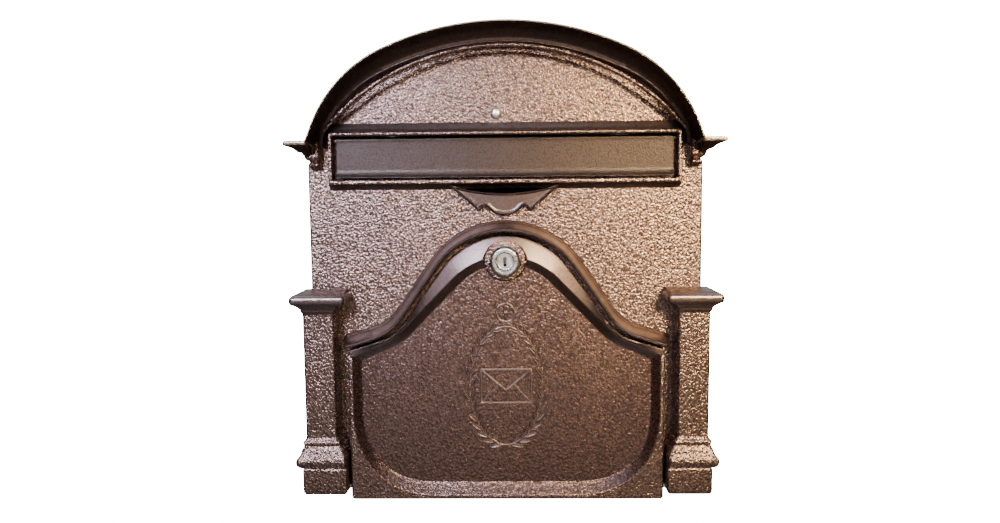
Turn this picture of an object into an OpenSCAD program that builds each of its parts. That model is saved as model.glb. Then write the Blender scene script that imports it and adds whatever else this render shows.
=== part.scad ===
// Wall mounted mailbox with a cast front, an arched roof, a letter flap and a drop-down door.
// The wall is the plane Y = 0, the front faces -Y and +Z is up.
// Inside the modules, heights are counted from the undersides of the plinths, and depths from the
// face of the front panel towards the street.

/* [Overall] */
// Width of the cast front panel
panel_w = 359; // [310:1:430]
// Distance from the wall to the face of the front panel
case_d = 105; // [80:1:160]
// Height of the cornice feet above the plinth undersides
foot_z = 319; // [315:1:380]

/* [Front panel] */
// Thickness of the cast front panel
panel_t = 5; // [4:0.5:8]
// How far the panel's edge stays inside the edge of the cornice
panel_in = 2; // [1:0.5:4]
// How far the door overlaps the edge of the panel's opening
door_lap = 6.3; // [4:0.1:8]

/* [Wall fixing] */
// Height of the middle of the wall holes above the plinth undersides
fix_z = 205; // [180:1:230]
// Distance between the wall holes, left to right
fix_w = 240; // [160:1:260]
// Distance between the wall holes, bottom to top
fix_h = 220; // [150:1:220]
// Radius of the wall holes
fix_hole_r = 3.5; // [2.5:0.1:5]

/* [Sheet metal case] */
// Thickness of the sheet
sheet_t = 1; // [0.8:0.1:2]
// How far the side of the case stands inside the side of the panel
case_in = 13.5; // [12:0.5:20]
// How far the roof of the case lies below the edge of the cornice
roof_in = 8; // [6:0.5:12]
// Width of the flanges, measured inside the sheet
flange_w = 12; // [10:0.5:16]
// Height of the underside of the case above the plinth undersides
floor_z = 4; // [2:0.5:10]
// Radius of the drain holes
drain_r = 3; // [2:0.5:4]
// Radius of the rivets
rivet_r = 1.6; // [1.2:0.1:2.4]
// Radius of the screws that hold the case to the panel
screw_r = 2; // [1.5:0.1:2.5]

/* [Cornice] */
// Angle of the crown arc, from the top to the haunch
crown_a = 24.5; // [20:0.5:30]
// Radius of the haunch arc
haunch_r = 121; // [110:1:125]
// Angle from the top at which the haunch arc ends
haunch_a = 68; // [64:0.5:72]
// Length of the straight foot of the cornice
foot_l = 13.5; // [10:0.5:18]
// Distance from the side of the panel to the foot of the cornice
foot_in = 6.5; // [5:0.5:9]
// How far the cornice stands out from the panel
cornice_d = 32; // [24:1:40]
// Thickness of the cornice's lip
lip_t = 1.6; // [1.2:0.1:3]
// Width of the hollow behind the lip
cove_w = 13.7; // [10:0.1:15]
// Height of the fine edge between the hollow and the inner step
cove_edge = 0.6; // [0.4:0.1:2]
// How far the inner step of the cornice stands out from the panel
step_d = 12; // [8:0.5:14]
// Distance from the top of the cornice down to the bead
bead_drop = 17.7; // [16:0.1:20]
// Radius of the bead
bead_r = 1.6; // [1:0.1:2.5]
// Angle from the top at which the bead ends
bead_a = 38; // [20:1:39]
// Distance from the bead to the inner edge of the step
step_in = 6.5; // [4:0.1:8]
// How far the tip of the ear stands outside the side of the panel
ear_out = 13; // [8:0.5:18]

/* [Letter slot] */
// Distance from the side of the panel to the slot frame
slot_side = 21.5; // [19:0.5:30]
// Distance from the cornice feet down to the underside of the slot frame
slot_drop = 38; // [34:0.5:50]
// Height of the slot frame
slot_h = 46.5; // [42:0.5:50]
// Width of the slot frame's side bars
bar_side = 3.7; // [3:0.1:6]
// Width of the slot frame's lower bar
bar_low = 4.2; // [3:0.1:6]
// Width of the slot frame's upper bar
bar_top = 3.2; // [3:0.1:6]
// How far the slot frame stands out from the panel
frame_d = 9; // [7:0.5:12]
// How far the flap overlaps the panel at its ends and its lower edge
flap_lap = 6.3; // [5:0.1:8]
// Depth of the rebate that the flap closes into
rebate_d = 2; // [1.5:0.1:2.5]

/* [Flap] */
// Gap between the end of the flap and the slot frame
flap_gap = 2.3; // [1:0.1:4]
// Thickness of the flap
flap_t = 3.5; // [3:0.1:4]
// Gap between the closed flap and the rebate
flap_rest = 0.5; // [0.4:0.1:1]
// Radius of the flap's hinge rod
rod_r = 1.25; // [1:0.05:1.4]
// Radius of the hinge barrel along the top of the flap
barrel_r = 2.8; // [2.6:0.1:3]
// Gap between the hinge barrel and the upper bar of the slot frame
barrel_gap = 0.5; // [0.4:0.1:1]
// Depth of the hinge axis behind the face of the panel
rod_back = 0.5; // [0:0.1:1]
// How far the flap's lip stands out from the face of the panel
lip_d = 8; // [6:0.5:8.5]
// Height of the flap's lip
lip_h = 6; // [4:0.5:8]

/* [Fits] */
// Radial clearance of a turning shaft in its hole
turn_fit = 0.08; // [0.04:0.01:0.1]
// Gap between the closed door and the face of the panel
door_rest = 0.5; // [0.4:0.1:1]
// Gap between the side of the door and the plinth
door_gap = 1.2; // [0.8:0.1:3]

/* [Pilasters] */
// Width of the plinth
plinth_w = 40.6; // [36:0.1:50]
// Height of the plinth
plinth_h = 24.5; // [20:0.5:30]
// How far the plinth stands out from the panel
plinth_d = 26; // [22:0.5:30]
// How far the plinth reaches past the side of the panel
plinth_out = 5.5; // [3:0.5:10]
// Radius of the plinth's lower outer corner
plinth_r = 5; // [2:0.5:8]
// Height of the base moulding above the plinth
base_h = 26; // [20:0.5:32]
// Extra reach of the base moulding's nose past the plinth
base_nose = 5; // [2:0.5:8]
// Width of the shaft
shaft_w = 28.5; // [24:0.5:34]
// How far the shaft stands out from the panel
shaft_d = 22; // [16:0.5:24]
// How far the shaft reaches past the side of the panel
shaft_out = 2.5; // [0:0.5:4]
// Height of the shaft's top above the plinth undersides
shaft_top = 167; // [150:1:180]
// Height of the capital
capital_h = 24; // [18:0.5:30]
// Reach of the capital's nose past the shaft, on the sides
capital_nose = 10.5; // [6:0.5:12]

/* [Door] */
// How far the door reaches below the plinth undersides
door_drop = 8; // [4:0.5:9]
// How far the door's face stands out from the panel
door_d = 16; // [15:0.5:18]
// How far the door's stepped upper edge stands out from the panel
rim_d = 12; // [10:0.5:13]
// How far the door's recessed field stands out from the panel
field_d = 8; // [7:0.5:9]
// Depth from the panel's face to the back of the door's plate
door_back = 4; // [3.5:0.1:5]
// Width of the stepped upper edge
rim_w = 9; // [6:0.5:12]
// Width of the door's rim beside the recessed field
field_in = 11; // [8:0.5:16]
// Height of the field's lower edge above the plinth undersides
field_z = 6; // [4:0.5:14]
// Reach of the bowed lower corners of the field
field_bow = 68; // [40:1:72]
// Width of the rim around the back of the door
back_rim = 5; // [4.5:0.1:8]
// Height of the middle of the door's crown arc
crown_z = 165; // [160:1:175]
// Radius of the door's crown arc
crown_r = 69.5; // [64:0.5:74]
// Slope of the door's straight shoulders
slope_a = 55; // [48:1:60]
// Crown radius and hook radius together
swan_sum = 121; // [112:1:126]
// Distance from the side of the door to the middle of the hook arc
hook_in = 11.4; // [8:0.2:16]
// Slope at the ends of the hook arcs
end_a = 17; // [10:1:22]
// Radius of the door's hinge pins
pin_r = 2; // [1.5:0.1:2.5]
// Length of a hinge pin inside the door and inside the plinth
pin_l = 11; // [8:0.5:14]
// Height of the hinge pins above the plinth undersides
pin_z = 4; // [3.5:0.5:6]

/* [Hood moulding] */
// Gap between the door's upper edge and the hood
hood_gap = 3.5; // [2:0.1:6]
// Thickness of the hood, measured along the face
hood_t = 8; // [5:0.5:12]
// How far the hood stands out from the panel
hood_d = 20; // [14:0.5:24]
// How far the hood reaches past the side of the door
hood_out = 4.8; // [2:0.2:6]

/* [Lock] */
// Height of the lock above the plinth undersides
lock_z = 212; // [208:0.5:213]
// Radius of the lock's collar
collar_r = 13.5; // [12:0.5:16]
// Thickness of the lock's collar
collar_t = 9; // [4:0.5:12]
// Radius of the lock's threaded barrel
lock_r = 10.5; // [9.5:0.1:11.5]
// Radius of the turning plug
plug_r = 8; // [6:0.1:8.6]
// Width of the key slot
key_w = 2; // [1.5:0.1:3]
// Height of the key slot
key_h = 6.6; // [5:0.1:8]
// Radius of the round boss on the door
boss_r = 18.5; // [16:0.5:21]
// Length of the cam from the lock's axis to its tip
cam_l = 27; // [25:0.5:32]
// Width of the cam
cam_w = 12; // [8:0.5:16]
// Thickness of the cam
cam_t = 2; // [1.5:0.1:3]
// Gap between the cam and the back of the panel
cam_gap = 1.5; // [1:0.1:3]

/* [Dome bolt] */
// How far the dome bolt lies left of the middle
bolt_left = 7.3; // [0:0.1:20]
// Height of the dome bolt above the top of the slot frame
bolt_up = 16.5; // [14:0.5:40]
// Radius of the dome head
dome_r = 5.25; // [4:0.25:8]
// Height of the dome head
dome_h = 3.4; // [2:0.1:4]
// Radius of the bolt
bolt_r = 3; // [2:0.1:3.5]

/* [Ornaments] */
// How far the apron below the slot stands out from the panel
apron_d = 6; // [3:0.5:8]
// Height of the raised lines of the emblem
line_h = 0.8; // [0.5:0.1:2]
// Width of the raised lines of the emblem
line_w = 1.6; // [1:0.1:3]
// Half width of the emblem's oval
oval_x = 38; // [24:1:40]
// Half height of the emblem's oval
oval_z = 60; // [40:1:64]
// Height of the middle of the emblem above the plinth undersides
emblem_z = 92; // [80:1:100]

/* [Hidden] */
$fn = 96;
// Steps in an arc that is drawn as an outline
steps = 12;
// How far a cut runs past the face it cuts
past = 1;

copper = "#5a3a33";
sheet = "#4a4443";
steel = "#b9b9b6";

panel_x = panel_w / 2;
case_x = panel_x - case_in;
case_front = case_d - panel_t;

// Cornice: the haunch starts where the crown ends, and the straight foot ends at foot_z
haunch_x = panel_x - foot_in - foot_l * cos(haunch_a) - haunch_r * sin(haunch_a);
haunch_z = foot_z + foot_l * sin(haunch_a) - haunch_r * cos(haunch_a);
arch_r = haunch_r + haunch_x / sin(crown_a);
arch_z = haunch_z - (arch_r - haunch_r) * cos(crown_a);
arch_top = arch_z + arch_r;

// Slot frame and flap
slot_z = foot_z - slot_drop;
frame_x = panel_x - slot_side;
frame_top = slot_z + slot_h;
recess_x = frame_x - bar_side;
recess_low = slot_z + bar_low;
recess_top = frame_top - bar_top;
rod_z = recess_top - barrel_gap - barrel_r;
flap_x = recess_x - flap_gap;
flap_back = flap_rest - rebate_d;

// Bead: part of an arc that would run on to the upper corners of the slot frame
bead_end_x = frame_x + 3;
bead_end_z = frame_top + 1.5;
bead_top = arch_top - bead_drop;
bead_arc_r = (bead_end_x ^ 2 + (bead_top - bead_end_z) ^ 2) / 2 / (bead_top - bead_end_z);
bead_arc_z = bead_top - bead_arc_r;

// Door outline: a crown arc, straight shoulders and two hook arcs
door_x = panel_x + plinth_out - plinth_w - door_gap;
hook_x = door_x - hook_in;
slope_l = (hook_x - swan_sum * sin(slope_a)) / cos(slope_a);
hook_z = crown_z + swan_sum * cos(slope_a) - slope_l * sin(slope_a);
hook_r = swan_sum - crown_r;
pin_d = pin_z + door_drop + door_rest;
// Squareness of the field's bowed corners: 1 is an ellipse
bow_power = 0.83;
hood_x = door_x + hood_out;
end_l = (hood_x - hook_x + hook_r * sin(end_a)) / cos(end_a);

// Lock: the cam turns behind the panel
lock_tail = panel_t + cam_gap;
nut_t = 3.2;
nut_flat = lock_r + 3;
cam_front = -lock_tail - 0.2;
cam_screw_r = 1.5;

function arc(c, r, a, b) =
    [for (i = [0:steps]) c + r * [sin(a + (b - a) * i / steps), cos(a + (b - a) * i / steps)]];
function both_sides(half) =
    concat([for (i = [len(half) - 1:-1:1]) [-half[i][0], half[i][1]]], half);

// Right half of the cornice's outline, moved outwards by o, down to the height of its feet
function arch_half(o) = concat(
    arc([0, arch_z], arch_r + o, 0, crown_a),
    arc([haunch_x, haunch_z], haunch_r + o, crown_a, haunch_a));
// The same, with the side of the case or the panel at x, down to the height low
function arch_region(o, x, low) =
    let (half = arch_half(o), e = half[len(half) - 1])
    both_sides(concat(half, [[x, e[1] - (x - e[0]) * tan(haunch_a)], [x, low]]));

// Right half of the door's upper outline, moved outwards by o, out to x
function swan_half(o, x) =
    let (hook = arc([hook_x, hook_z], o - hook_r, slope_a, end_a), e = hook[len(hook) - 1])
    concat(arc([0, crown_z], crown_r + o, 0, slope_a), hook, [[x, e[1] - (x - e[0]) * tan(end_a)]]);
function swan_region(o, x, low) = both_sides(concat(swan_half(o, x), [[x, low]]));

// Screws along the case's front flange: up the sides and over the roof
screw_rows = [45, 145, 245];
rivet_rows = [25, 130, 235];
flange_mid = sheet_t + flange_w / 2;
screw_x = case_x - flange_mid;
screw_spots = concat(
    [for (s = [-1, 1], z = screw_rows) [s * screw_x, z]],
    [for (a = [-crown_a, 0, crown_a]) [0, arch_z] + (arch_r - roof_in - flange_mid) * [sin(a), cos(a)]]);
rivet_spots = concat(
    [for (s = [-1, 1], z = rivet_rows) [s * screw_x, z]],
    [for (a = [-crown_a, 0, crown_a]) [0, arch_z] + (arch_r - roof_in - flange_mid) * [sin(a), cos(a)]]);
drain_spots = [for (s = [-1, 1]) [s * case_x / 2, case_d / 2]];

// Puts an outline drawn from the front at depth d
module face(d) {
    translate([0, -case_d, -fix_z]) rotate([90, 0, 0]) translate([0, 0, d]) children();
}
module plate(d, t, points) {
    face(d) linear_extrude(t) polygon(points);
}
// A rod along X, at height z and depth d, from x = a to x = b
module cross_rod(a, b, d, z, r) {
    translate([a, -case_d - d, z - fix_z]) rotate([0, 90, 0]) cylinder(h = b - a, r = r);
}
// A section given as [depth, height] points, drawn from x = a to x = b
module cross_section(a, b, points) {
    translate([a, -case_d, -fix_z]) rotate([90, 0, 90]) linear_extrude(b - a)
        polygon([for (p = points) [-p[0], p[1]]]);
}
module box(x, d, z) {
    translate([x[0], -case_d - d[1], z[0] - fix_z]) cube([x[1] - x[0], d[1] - d[0], z[1] - z[0]]);
}
module hexagon(flat_r, t) {
    cylinder(h = t, r = flat_r / cos(30), $fn = 6);
}
// Carries a section along a straight stretch that starts at p and slopes by a
module straight(p, a, l) {
    translate(p) rotate([0, 0, 90 - a]) rotate([90, 0, 0]) linear_extrude(l) children();
}
// Carries a section along the cornice's outline; x in the section is the distance outwards
module along_arch() {
    translate([0, arch_z]) rotate(90 - crown_a) rotate_extrude(angle = 2 * crown_a)
        translate([arch_r, 0]) children();
    for (s = [0, 1]) mirror([s, 0, 0]) {
        translate([haunch_x, haunch_z]) rotate(90 - haunch_a)
            rotate_extrude(angle = haunch_a - crown_a) translate([haunch_r, 0]) children();
        straight([haunch_x, haunch_z] + haunch_r * [sin(haunch_a), cos(haunch_a)], haunch_a, foot_l)
            children();
    }
}
// Carries a section along the door's upper outline; x in the section is the distance outwards
module along_swan() {
    translate([0, crown_z]) rotate(90 - slope_a) rotate_extrude(angle = 2 * slope_a)
        translate([crown_r, 0]) children();
    for (s = [0, 1]) mirror([s, 0, 0]) {
        straight([0, crown_z] + crown_r * [sin(slope_a), cos(slope_a)], slope_a, slope_l) children();
        translate([hook_x, hook_z]) rotate(270 - slope_a) rotate_extrude(angle = slope_a - end_a)
            translate([hook_r, 0]) mirror([1, 0]) children();
        straight([hook_x, hook_z] - hook_r * [sin(end_a), cos(end_a)], end_a, end_l) children();
    }
}

// Sheet that closes the case against the wall
module back_panel() {
    color(sheet) difference() {
        plate(-case_d, sheet_t, arch_region(-roof_in, case_x, floor_z));
        for (x = [-1, 1], z = [-1, 1])
            face(-case_d - past) translate([x * fix_w / 2, fix_z + z * fix_h / 2])
                cylinder(h = sheet_t + 2 * past, r = fix_hole_r);
        for (p = rivet_spots)
            face(-case_d - past) translate(p) cylinder(h = sheet_t + 2 * past, r = rivet_r);
    }
}
// Sides and arched roof of the case, with a flange at the front and at the back
module case_wrap() {
    back = sheet_t - case_d;
    inner = roof_in + sheet_t;
    color(sheet) difference() {
        plate(back, case_d - panel_t - sheet_t, arch_region(-roof_in, case_x, floor_z));
        plate(back + sheet_t, case_d - panel_t - 3 * sheet_t,
            arch_region(-inner, case_x - sheet_t, floor_z - past));
        plate(back - past, case_d + 2 * past,
            arch_region(-inner - flange_w, case_x - sheet_t - flange_w, floor_z - past));
        for (p = screw_spots)
            face(-panel_t - sheet_t - past) translate(p) cylinder(h = sheet_t + 2 * past, r = screw_r);
        for (p = rivet_spots) face(back - past) translate(p) cylinder(h = sheet_t + 2 * past, r = rivet_r);
        side_rivets(rivet_r);
    }
}
// Holes and shanks of the rivets between the sides of the case and the floor's flanges
module side_rivets(r) {
    for (s = [0, 1], y = [0.2, 0.5, 0.8]) mirror([s, 0, 0])
        cross_rod(case_x - 2 * sheet_t, case_x, -case_d + case_front * y, floor_z + flange_w / 2, r);
}
// Floor of the case, between the sides, with turned-up edges and drain holes
module case_floor() {
    in = case_x - sheet_t;
    depth = [2 * sheet_t - case_d, -panel_t - sheet_t];
    color(sheet) difference() {
        union() {
            box([-in, in], depth, [floor_z, floor_z + sheet_t]);
            for (s = [0, 1]) mirror([s, 0, 0]) box([in - sheet_t, in], depth, [floor_z, floor_z + flange_w]);
        }
        for (p = drain_spots)
            translate([p[0], -p[1], floor_z - fix_z - past]) cylinder(h = sheet_t + 2 * past, r = drain_r);
        side_rivets(rivet_r);
    }
}
// Cast plate that carries the whole front
module front_panel() {
    back = -panel_t - past;
    through = panel_t + 2 * past;
    color(copper) difference() {
        plate(-panel_t, panel_t, arch_region(-panel_in, panel_x, 0));
        box([-recess_x + flap_lap, recess_x - flap_lap], [back, past], [recess_low + flap_lap, rod_z - 1]);
        box([-recess_x, recess_x], [back, past], [rod_z - barrel_r - 1, recess_top]);
        box([-recess_x, recess_x], [-rebate_d, past], [recess_low, rod_z]);
        plate(back, through, swan_region(-door_lap, door_x - door_lap, floor_z + 2 * door_lap));
        face(back) translate([-bolt_left, frame_top + bolt_up]) cylinder(h = through, r = bolt_r);
        for (p = screw_spots) face(back) translate(p) cylinder(h = panel_t, r = screw_r);
    }
}
// Arched moulding over the front, with its pointed ears, let in round the slot frame
module roof_cornice() {
    deep = cornice_d - step_d - cove_edge;
    cove = [for (a = [0:15:90]) [(cove_w - lip_t) * cos(a) - cove_w, cornice_d - deep * sin(a)]];
    color(copper) difference() {
        union() {
            face(0) along_arch() polygon(concat([[-cove_w, 0], [0, 0], [0, cornice_d]], cove));
            difference() {
                plate(0, step_d, arch_region(-cove_w / 2, panel_x - foot_in - cove_w / 2, foot_z - 3));
                face(-past) translate([0, bead_arc_z])
                    cylinder(h = step_d + 2 * past, r = bead_arc_r - step_in);
            }
            for (s = [0, 1]) mirror([s, 0, 0]) ear();
        }
        box([-frame_x, frame_x], [-past, cornice_d + past], [slot_z, frame_top]);
    }
}
// Half-round bead that runs along the cornice's inner step
module cornice_bead() {
    color(copper) face(step_d) translate([0, bead_arc_z]) rotate(90 - bead_a)
        rotate_extrude(angle = 2 * bead_a) translate([bead_arc_r, 0])
            polygon([for (a = [0:20:180]) bead_r * [cos(a), sin(a)]]);
}
// Ear at the right foot of the cornice: stepped mouldings that return round the side
module ear() {
    foot = panel_x - foot_in;
    in = foot - 9;
    tip = panel_x + ear_out;
    plate(0, cornice_d - 2, [[in, foot_z - 8], [tip - 6, foot_z - 8], [tip, foot_z - 3.5],
        [tip, foot_z - 0.5], [foot, foot_z + 2], [in, foot_z + 2]]);
    plate(0, cornice_d - 10, [[in, foot_z - 12.5], [panel_x + 1.5, foot_z - 12.5],
        [panel_x + 6, foot_z - 9.5], [panel_x + 6, foot_z - 7], [in, foot_z - 7]]);
    plate(0, step_d, [[in, foot_z - 18], [panel_x - 1.5, foot_z - 18],
        [panel_x - 1.5, foot_z - 15], [panel_x + 1, foot_z - 12], [in, foot_z - 12]]);
    plate(0, step_d / 2, [[in, foot_z - 22], [panel_x - 3, foot_z - 22],
        [panel_x - 2.5, foot_z - 17], [in, foot_z - 17]]);
}
// Raised frame round the letter slot
module slot_frame() {
    color(copper) difference() {
        box([-frame_x, frame_x], [0, frame_d], [slot_z, frame_top]);
        box([-recess_x, recess_x], [-past, frame_d + past], [recess_low, recess_top]);
    }
}
// Cast apron below the slot frame, with a scalloped lower edge
module slot_apron() {
    color(copper) plate(0, apron_d, both_sides([[0, slot_z - 27], [7, slot_z - 26], [13, slot_z - 22],
        [17.5, slot_z - 19.5], [24, slot_z - 22.5], [32, slot_z - 14.5], [39, slot_z - 9], [49, slot_z - 1.5],
        [49, slot_z]]));
}
// Moulding that sheds water over the door's upper edge
module door_hood() {
    top = hood_gap + hood_t;
    color(copper) {
        face(0) along_swan()
            polygon([[hood_gap, 0], [hood_gap, hood_d - 1], [hood_gap + 2, hood_d], [top, 4], [top, 0]]);
        difference() {
            plate(1, 2, swan_region(top - 1, hood_x - 1, 0));
            plate(0, 4, swan_region(hood_gap + 1, hood_x, -past));
        }
    }
}
// Cast pilaster right of the door: plinth, base moulding, shaft and capital
module pilaster() {
    out = panel_x + plinth_out;
    in = out - plinth_w;
    shaft_r = panel_x + shaft_out;
    shaft_l = shaft_r - shaft_w;
    base_z = plinth_h + 9;
    cap_r = shaft_r + capital_nose;
    cap_l = shaft_l - capital_nose;
    nose_z = shaft_top + capital_h - 9;
    difference() {
        union() {
            plate(0, plinth_d, concat([[in, 0], [out - plinth_r, 0]],
                [for (a = [0:15:90]) [out - plinth_r + plinth_r * sin(a), plinth_r - plinth_r * cos(a)]],
                [[out, plinth_h], [in, plinth_h]]));
            box([in, out + base_nose], [0, plinth_d + 3.5], [plinth_h, base_z]);
            hull() {
                box([in, out + base_nose - 1], [0, plinth_d + 2.5], [base_z, base_z + 1]);
                box([shaft_l - 3, shaft_r + 2], [0, shaft_d + 1], [plinth_h + base_h - 1, plinth_h + base_h]);
            }
            box([shaft_l, shaft_r], [0, shaft_d], [plinth_h, shaft_top]);
            hull() {
                box([shaft_l, shaft_r], [0, shaft_d], [shaft_top - 1, shaft_top]);
                box([shaft_l - 3, shaft_r + 3], [0, shaft_d + 3], [shaft_top + 5, shaft_top + 6]);
            }
            box([cap_l, cap_r], [0, shaft_d + 6], [shaft_top + 6, nose_z]);
            hull() {
                box([cap_l, cap_r], [0, shaft_d + 6], [nose_z - 1, nose_z]);
                box([cap_l + 5, cap_r - 5], [0, 3], [shaft_top + capital_h - 1, shaft_top + capital_h]);
            }
        }
        cross_rod(in - past, in + pin_l, pin_d, pin_z, pin_r);
    }
}
module left_pilaster() {
    color(copper) mirror([1, 0, 0]) pilaster();
}
module right_pilaster() {
    color(copper) pilaster();
}
// Polished dome-headed bolt above the slot
module dome_bolt() {
    sphere_r = (dome_r ^ 2 + dome_h ^ 2) / 2 / dome_h;
    color(steel) face(0) translate([-bolt_left, frame_top + bolt_up]) {
        intersection() {
            translate([0, 0, dome_h - sphere_r]) sphere(sphere_r);
            cylinder(h = dome_h + past, r = dome_r + past);
        }
        translate([0, 0, -panel_t - 7]) cylinder(h = panel_t + 7, r = bolt_r);
    }
}
// Washer and nut of the dome bolt, behind the panel
module dome_bolt_nut() {
    color(steel) face(-panel_t) translate([-bolt_left, frame_top + bolt_up]) difference() {
        union() {
            translate([0, 0, -1.2]) cylinder(h = 1.2, r = 2 * bolt_r);
            translate([0, 0, -6]) hexagon(bolt_r + 2, 5);
        }
        translate([0, 0, -8]) cylinder(h = 10, r = bolt_r);
    }
}
// Screws that hold the case's front flange to the panel
module case_screws() {
    color(steel) for (p = screw_spots) face(0) translate([p[0], p[1], -panel_t - sheet_t]) {
        cylinder(h = sheet_t + panel_t - past, r = screw_r);
        translate([0, 0, -2.4]) cylinder(h = 2.4, r = 1.9 * screw_r);
    }
}
// Rivets between the back panel and the case's rear flange
module back_rivets() {
    color(steel) for (p = rivet_spots) face(-case_d) translate(p) {
        cylinder(h = 2 * sheet_t, r = rivet_r);
        translate([0, 0, 2 * sheet_t]) cylinder(h = 1, r = 2 * rivet_r);
    }
}
// Rivets between the sides of the case and the floor
module floor_rivets() {
    color(steel) {
        side_rivets(rivet_r);
        for (s = [0, 1], y = [0.2, 0.5, 0.8]) mirror([s, 0, 0])
            cross_rod(case_x, case_x + 1, -case_d + case_front * y, floor_z + flange_w / 2, 2 * rivet_r);
    }
}
// Rod that the flap hangs on, held at its ends by the panel's slot
module flap_rod() {
    color(steel) cross_rod(-recess_x, recess_x, -rod_back, rod_z, rod_r);
}
// Pins that the door turns on, one in each plinth
module door_pins() {
    in = panel_x + plinth_out - plinth_w;
    color(steel) for (s = [0, 1]) mirror([s, 0, 0])
        cross_rod(door_x - pin_l + 0.5, in + pin_l, pin_d, pin_z, pin_r);
}
// Letter flap: a cast plate with a hinge barrel and a lip to lift it by
module slot_flap() {
    low = recess_low + 1.4;
    front = flap_back + flap_t;
    color(copper) difference() {
        union() {
            cross_section(-flap_x, flap_x, [[flap_back, rod_z], [flap_back, low + lip_h - 1],
                [flap_back + 1.5, low + 2], [lip_d - 1.5, low], [lip_d, low + 1],
                [front + 2.5, low + lip_h - 2.5], [front, low + lip_h], [front, rod_z]]);
            cross_rod(-flap_x, flap_x, -rod_back, rod_z, barrel_r);
        }
        cross_rod(-flap_x - past, flap_x + past, -rod_back, rod_z, rod_r + turn_fit);
    }
}
// Drop-down door: a shallow casting with a recessed field and a round boss for the lock
module door_panel() {
    back = door_rest;
    color(copper) difference() {
        union() {
            plate(back, rim_d - back, swan_region(0, door_x, pin_z));
            plate(back, door_d - back, swan_region(-rim_w, door_x, pin_z));
            cross_section(-door_x, door_x, door_foot());
        }
        difference() {
            plate(field_d, door_d, field_outline());
            face(0) translate([0, lock_z]) cylinder(h = door_d, r = boss_r);
        }
        plate(back - past, door_back - back + past,
            swan_region(-back_rim, door_x - back_rim, pin_z + back_rim + pin_r + 4));
        face(back - past) translate([0, lock_z]) cylinder(h = door_d + past, r = lock_r);
        for (s = [0, 1]) mirror([s, 0, 0])
            cross_rod(door_x - pin_l, door_x + past, pin_d, pin_z, pin_r + turn_fit);
    }
}
// Outline of the recessed field, with bowed lower corners
function field_outline() =
    let (side = door_x - field_in, top = swan_half(field_in / 4 - rim_w - field_in, side))
    let (bow_z = min(field_bow, top[len(top) - 1][1] - field_z - 1))
    both_sides(concat(top, [for (a = [0:10:90])
        [side - field_bow * (1 - cos(a) ^ bow_power), field_z + bow_z * (1 - sin(a) ^ bow_power)]]));
// Section of the door's foot, round behind so that it turns clear of the panel
function door_foot() = concat(
    [[door_d, pin_z], [door_rest, pin_z]],
    [for (a = [0:10:90]) [pin_d - (pin_d - door_rest) * cos(a), pin_z - (pin_z + door_drop) * sin(a)]],
    [[door_d - 2, -door_drop], [door_d, -door_drop + 2]]);
// Raised ornament in the door's field: an oval wreath round a plain envelope
module door_emblem() {
    env = [24, 16];
    color(copper) face(field_d) translate([0, emblem_z]) linear_extrude(line_h) {
        difference() {
            oval(0);
            oval(-line_w);
        }
        difference() {
            square(2 * env, center = true);
            square(2 * env - 2 * [line_w, line_w], center = true);
        }
        for (s = [0, 1]) mirror([s, 0])
            polygon([[0, -4], [line_w, -3], [env[0] - line_w, env[1] - line_w],
                [env[0] - 2 * line_w, env[1] - line_w], [0, -2]]);
        translate([0, oval_z + 8]) difference() {
            circle(9);
            circle(9 - line_w);
        }
    }
}
module oval(o) {
    polygon([for (a = [0:7.5:359]) [(oval_x + o) * sin(a), (oval_z + o) * cos(a)]]);
}
// Housing of the cam lock, with its bright collar
module lock_body() {
    color(steel) face(0) translate([0, lock_z]) difference() {
        union() {
            translate([0, 0, door_d]) cylinder(h = collar_t, r = collar_r);
            translate([0, 0, -lock_tail]) cylinder(h = door_d + lock_tail, r = lock_r);
        }
        translate([0, 0, -lock_tail - past]) cylinder(h = door_d + lock_tail + 30, r = plug_r + turn_fit);
    }
}
// Nut that clamps the lock to the door
module lock_nut() {
    color(steel) face(door_back - nut_t) translate([0, lock_z]) difference() {
        rotate(30) hexagon(nut_flat, nut_t);
        translate([0, 0, -past]) cylinder(h = nut_t + 2 * past, r = lock_r);
    }
}
// Turning plug with its key slot
module lock_plug() {
    color(steel) face(0) translate([0, lock_z]) difference() {
        translate([0, 0, cam_front]) cylinder(h = door_d + collar_t + 0.5 - cam_front, r = plug_r);
        translate([-key_w / 2, -key_h / 2, door_d + collar_t - 14]) cube([key_w, key_h, 20]);
        translate([0, 0, cam_front - past]) cylinder(h = past + 8, r = cam_screw_r);
    }
}
// Cam that turns behind the panel; it points to the left while the lock is open
module lock_cam() {
    color(steel) face(cam_front - cam_t) translate([0, lock_z]) difference() {
        union() {
            cylinder(h = cam_t, r = plug_r);
            translate([-cam_l, -cam_w / 2, 0]) cube([cam_l, cam_w, cam_t]);
        }
        translate([0, 0, -past]) cylinder(h = cam_t + 2 * past, r = cam_screw_r);
    }
}
// Screw that holds the cam on the plug
module cam_screw() {
    color(steel) face(cam_front - cam_t) translate([0, lock_z]) {
        cylinder(h = cam_t + 7, r = cam_screw_r);
        translate([0, 0, -2]) cylinder(h = 2, r = 2.3 * cam_screw_r);
    }
}

back_panel();
case_wrap();
case_floor();
front_panel();
roof_cornice();
cornice_bead();
slot_frame();
slot_apron();
door_hood();
left_pilaster();
right_pilaster();
dome_bolt();
dome_bolt_nut();
case_screws();
back_rivets();
floor_rivets();
flap_rod();
door_pins();
slot_flap();
door_panel();
door_emblem();
lock_body();
lock_nut();
lock_plug();
lock_cam();
cam_screw();
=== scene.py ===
import bmesh
import bpy
import math
from mathutils import Matrix, Vector


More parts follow.
